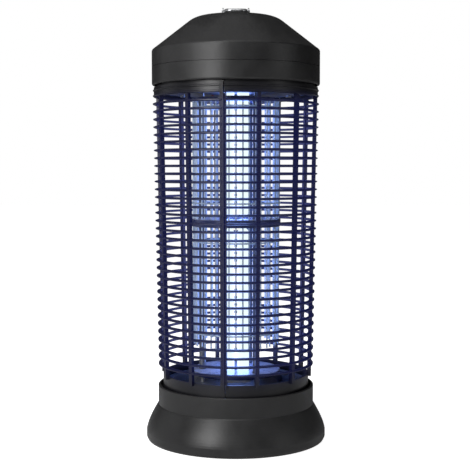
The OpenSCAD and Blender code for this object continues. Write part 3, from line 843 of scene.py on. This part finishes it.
@dataclass
class WireBeads:
    """Beads on the lower ends of the grid wires, one for each wire of both cages."""

    cages: tuple[tuple[str, float], ...] = (("live", 0.0), ("return", 0.5))
    count: int = 20
    radius: float = 1.15 * MM
    squash: float = 0.8
    wire_r: float = 0.8 * MM

    def build(self) -> None:
        """Shapes one bead for each cage and copies it to every wire."""
        material = GRID_STEEL.material()
        step = 2 * math.pi / self.count
        for cage, shift in self.cages:
            lo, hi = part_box(f"grid_wires_{cage}")
            reach = (hi.y - self.wire_r) / math.cos(step * shift)
            bead = self._bead(f"bead_{cage}", lo.z)
            beads = []
            for i in range(self.count):
                turn = (i + shift) * step
                place = (reach * math.sin(turn), -reach * math.cos(turn), 0.0)
                beads.append(moved_copy(bead, f"bead_{cage}_{i}", place))
            dropped(bead)
            dress(joined(beads, f"wire_beads_{cage}"), material, "tower")

    def _bead(self, name: str, height: float) -> bpy.types.Object:
        """Shapes one flattened ball.

        Args:
            name: The bead's name.
            height: Height of its middle.

        Returns:
            The bead, on the Z axis.
        """
        middle = (0, 0, height)
        nothing_selected()
        bpy.ops.mesh.primitive_uv_sphere_add(segments=10, ring_count=6, radius=self.radius, location=middle)
        bead = named(name)
        bpy.ops.object.mode_set(mode="EDIT")
        bpy.ops.mesh.select_all(action="SELECT")
        bpy.ops.transform.resize(value=(1.0, 1.0, self.squash), center_override=middle)
        bpy.ops.object.mode_set(mode="OBJECT")
        bpy.ops.object.transform_apply(location=True, rotation=False, scale=False)
        return bead


@dataclass
class GlandNut:
    """Ribbed nut that clamps the cord gland on the rear of the head."""

    sides: int = 24
    gland_r: float = 6.0 * MM
    thickness: float = 2.2 * MM
    rib: float = 0.5 * MM
    ring: float = 2.6 * MM
    gap: float = 0.1 * MM
    edge: float = 0.4 * MM

    def build(self) -> None:
        """Turns the nut, raises every second side face as a rib, and lays it on the gland's axis."""
        lo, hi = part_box("cord_gland")
        centre = ((lo.x + hi.x) / 2, (lo.z + hi.z) / 2)
        inner = self.gland_r + self.gap
        outer = inner + self.ring
        back = hi.y - self.thickness - self.gap
        outline = [(inner, 0.0), (outer, 0.0), (outer, self.thickness - self.edge),
                   (outer - self.edge, self.thickness), (inner, self.thickness)]
        nut = turned("gland_nut", outline, sides=self.sides)
        self._raise_ribs(nut, outer)
        nut.rotation_euler = (math.radians(-90), 0, 0)
        nut.location = (centre[0], back, centre[1])
        settle(nut)
        dress(nut, GLAND_RUBBER.material(), "tower")

    def _raise_ribs(self, nut: bpy.types.Object, outer: float) -> None:
        """Extrudes every second outer face along its normal.

        Args:
            nut: The nut, on the Z axis.
            outer: Its outer radius.
        """
        only(nut)
        bpy.ops.object.mode_set(mode="EDIT")
        bpy.ops.mesh.select_all(action="DESELECT")
        bpy.ops.object.mode_set(mode="OBJECT")
        for face in nut.data.polygons:
            middle = face.center
            around = math.degrees(math.atan2(middle.y, middle.x)) % 360 / (360 / self.sides)
            side = abs(face.normal.z) < 0.1 and math.hypot(middle.x, middle.y) > outer * 0.95
            face.select = side and int(around) % 2 == 0
        bpy.ops.object.mode_set(mode="EDIT")
        bpy.ops.mesh.extrude_region_shrink_fatten(TRANSFORM_OT_shrink_fatten={"value": self.rib})
        bpy.ops.object.mode_set(mode="OBJECT")


@dataclass
class BracketScrews:
    """Pan-head screws of the loop's bracket, with a cross recess and a threaded shank."""

    names: tuple[str, ...] = ("bracket_screw_1", "bracket_screw_2")
    head_h: float = 1.2 * MM
    head_bevel: float = 0.45 * MM
    shank_r: float = 1.6 * MM
    tip_r: float = 0.2 * MM
    slot_w: float = 0.7 * MM
    slot_depth: float = 0.7 * MM
    thread: float = 0.8 * MM
    core: float = 0.82
    bury: float = 0.1 * MM

    def build(self) -> None:
        """Builds one screw and puts a copy in place of each node."""
        material = ZINC.material()
        lo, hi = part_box(self.names[0])
        head_r = (hi.y - lo.y) / 2
        head = self._head(head_r, hi.z)
        screw = joined([head, self._shank(self.shank_r, lo.z, hi.z - self.head_h)], "screw")
        for name in self.names:
            lo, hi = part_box(name)
            piece = moved_copy(screw, f"detailed_{name}", ((lo.x + hi.x) / 2, 0.0, 0.0))
            dress(piece, material, "tower")
            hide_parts(name)
        dropped(screw)

    def _head(self, radius: float, top: float) -> bpy.types.Object:
        """Shapes a rounded head and cuts the cross into it.

        Args:
            radius: The head's radius.
            top: Height of its top.

        Returns:
            The head, on the Z axis.
        """
        nothing_selected()
        middle = top - self.head_h / 2
        bpy.ops.mesh.primitive_cylinder_add(vertices=40, radius=radius, depth=self.head_h,
                                            location=(0, 0, middle))
        head = named("screw_head")
        bpy.ops.object.transform_apply(location=True, rotation=False, scale=False)
        modify(head, "BEVEL", width=self.head_bevel, segments=4, limit_method="ANGLE")
        for turn in (0, 90):
            nothing_selected()
            bpy.ops.mesh.primitive_cube_add(size=1, location=(0, 0, top))
            cutter = named("cutter")
            cutter.scale = (1.2 * radius, self.slot_w, 2 * self.slot_depth)
            cutter.rotation_euler = (0, 0, math.radians(turn))
            bpy.ops.object.transform_apply(location=True, rotation=True, scale=True)
            modify(head, "BOOLEAN", operation="DIFFERENCE", object=cutter, solver="EXACT")
            dropped(cutter)
        return head

    def _shank(self, radius: float, low: float, high: float) -> bpy.types.Object:
        """Turns a shank with thread crests.

        Args:
            radius: Radius over the crests.
            low: Height of the tip.
            high: Height under the head.

        Returns:
            The shank, on the Z axis.
        """
        turns = int((high - low) / self.thread)
        outline = [(self.tip_r, low)]
        for i in range(turns):
            start = low + i * self.thread
            outline += [(radius * self.core, start + 0.1 * self.thread), (radius, start + 0.5 * self.thread)]
        outline += [(radius * self.core, high + self.bury), (self.tip_r, high + self.bury)]
        return turned("screw_shank", outline, sides=24)


@dataclass
class LeadBushings:
    """Ceramic bushings that carry the high-voltage leads through the head chassis."""

    leads: tuple[str, ...] = ("lead_live", "lead_return")
    wall: float = 1.6 * MM
    height: float = 5.0 * MM
    groove: float = 0.5 * MM
    bands: int = 5
    gap: float = 0.1 * MM

    def build(self) -> None:
        """Turns one bushing and copies it to the second lead."""
        material = CERAMIC.material()
        lo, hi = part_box(self.leads[0])
        inner = (hi.x - lo.x) / 2 + self.gap
        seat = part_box("ballast_core")[0].z
        first = self._bushing(inner, seat)
        for lead in self.leads:
            lo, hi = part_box(lead)
            place = ((lo.x + hi.x) / 2, (lo.y + hi.y) / 2, 0.0)
            dress(moved_copy(first, f"bushing_{lead}", place), material, "tower")
        dropped(first)

    def _bushing(self, inner: float, seat: float) -> bpy.types.Object:
        """Turns a bushing with two grooves.

        Args:
            inner: The bore's radius.
            seat: Height of the face that it stands on.

        Returns:
            The bushing, on the Z axis.
        """
        outer = inner + self.wall
        step = self.height / self.bands
        outline = [(inner, seat)]
        for i in range(self.bands):
            radius = outer if i % 2 == 0 else outer - self.groove
            low, high = seat + i * step, seat + (i + 1) * step
            outline += [(radius, low + self.gap), (radius, high - self.gap)]
        outline += [(inner, seat + self.height)]
        return turned("bushing", outline, sides=32)


# ---------------------------------------------------------------- studio


@dataclass
class Studio:
    """Floor, light and camera."""

    floor_size: float = 14.0
    aim_height: float = 0.24
    camera_distance: float = 1.113
    camera_height: float = 0.287
    camera_side: float = -0.0009
    camera_drop: float = 3.62
    lens: float = 80.43
    frame_side: float = 36.0

    def build(self) -> None:
        """Builds the floor, the surroundings, the lamps and the camera."""
        self._floor()
        self._surroundings()
        self._softbox("key", azimuth=-36.0, distance=1.5, height=0.75, size=(0.55, 0.9), power=20.0)
        self._softbox("fill", azimuth=-105.0, distance=1.6, height=0.5, size=(0.6, 1.4), power=2.0)
        self._softbox("side", azimuth=62.0, distance=1.7, height=0.4, size=(0.5, 1.2), power=3.0)
        self._softbox("top", azimuth=0.0, distance=0.3, height=1.9, size=(1.2, 1.2), power=5.0)
        self._softbox("strip", azimuth=-40.0, distance=0.8, height=1.7, size=(0.16, 0.6), power=7.0)
        self._camera()

    def _floor(self) -> None:
        """Lays a plain pale floor."""
        nothing_selected()
        bpy.ops.mesh.primitive_plane_add(size=self.floor_size)
        floor = named("floor")
        made, sheet, shader, place = new_material("floor_white")
        mottle = use(sheet, Effects.tone(), Vector=place, Scale=3.0).outputs[0]
        colour = sheet.blend(mottle, rgba((0.84, 0.84, 0.84)), rgba((0.86, 0.86, 0.86)))
        sheet.feed(shader.inputs["Base Color"], colour)
        shader.inputs["Roughness"].default_value = 0.9
        shader.inputs["Specular IOR Level"].default_value = 0.1
        eye = sheet.add("ShaderNodeLightPath").outputs["Is Camera Ray"]
        colour = sheet.blend(eye, rgba((0.02, 0.02, 0.02)), rgba((0.96, 0.96, 0.96)))
        sheet.feed(shader.inputs["Emission Color"], colour)
        shader.inputs["Emission Strength"].default_value = 1.0
        floor.data.materials.append(made)

    def _surroundings(self) -> None:
        """Makes the background white and its own light weaker than it looks."""
        world = bpy.data.worlds.new("studio")
        world.use_nodes = True
        bpy.context.scene.world = world
        sheet = Sheet(world.node_tree)
        sheet.tree.nodes.clear()
        eye = sheet.add("ShaderNodeLightPath").outputs["Is Camera Ray"]
        strength = sheet.span(eye, 0.0, 1.0, 0.05, 1.0)
        back = sheet.add("ShaderNodeBackground", {"Color": (1, 1, 1, 1), "Strength": strength})
        sheet.add("ShaderNodeOutputWorld", {0: back.outputs[0]})
        bpy.context.scene.view_settings.view_transform = "Standard"

    def _softbox(self, name: str, azimuth: float, distance: float, height: float, size: tuple[float, float],
                 power: float) -> None:
        """Hangs a softbox that looks at the object's middle.

        Args:
            name: The lamp's name.
            azimuth: Its place around the object, from the front, in degrees.
            distance: Its distance from the axis.
            height: Its height over the floor.
            size: Its width and height.
            power: Its power in watts.
        """
        lamp = bpy.data.lights.new(name, "AREA")
        lamp.shape = "RECTANGLE"
        lamp.size, lamp.size_y = size
        lamp.energy = power
        hung = bpy.data.objects.new(name, lamp)
        bpy.context.collection.objects.link(hung)
        turn = math.radians(azimuth)
        hung.location = (distance * math.sin(turn), -distance * math.cos(turn), height)
        aim = Vector((0, 0, self.aim_height)) - hung.location
        hung.rotation_euler = aim.to_track_quat("-Z", "Y").to_euler()
        LOG.info("light %s hung", name)

    def _camera(self) -> None:
        """Sets the camera in front of the object, a little above its middle."""
        data = bpy.data.cameras.new("camera")
        data.lens = self.lens
        data.sensor_width = self.frame_side
        camera = bpy.data.objects.new("camera", data)
        bpy.context.collection.objects.link(camera)
        camera.location = (self.camera_side, -self.camera_distance, self.camera_height)
        camera.rotation_euler = (math.radians(90.0 - self.camera_drop), 0, 0)
        bpy.context.scene.camera = camera


def main() -> None:
    logging.basicConfig(level=logging.INFO, format="%(name)s: %(message)s")
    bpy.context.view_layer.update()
    for part in (CadDress(), Spacers(), LampFerrules(), WireBeads(), LeadBushings(), GlandNut(),
                 BracketScrews(), Studio()):
        LOG.info("building %s", type(part).__name__)
        part.build()
    bpy.context.view_layer.update()


if __name__ == "__main__":
    main()
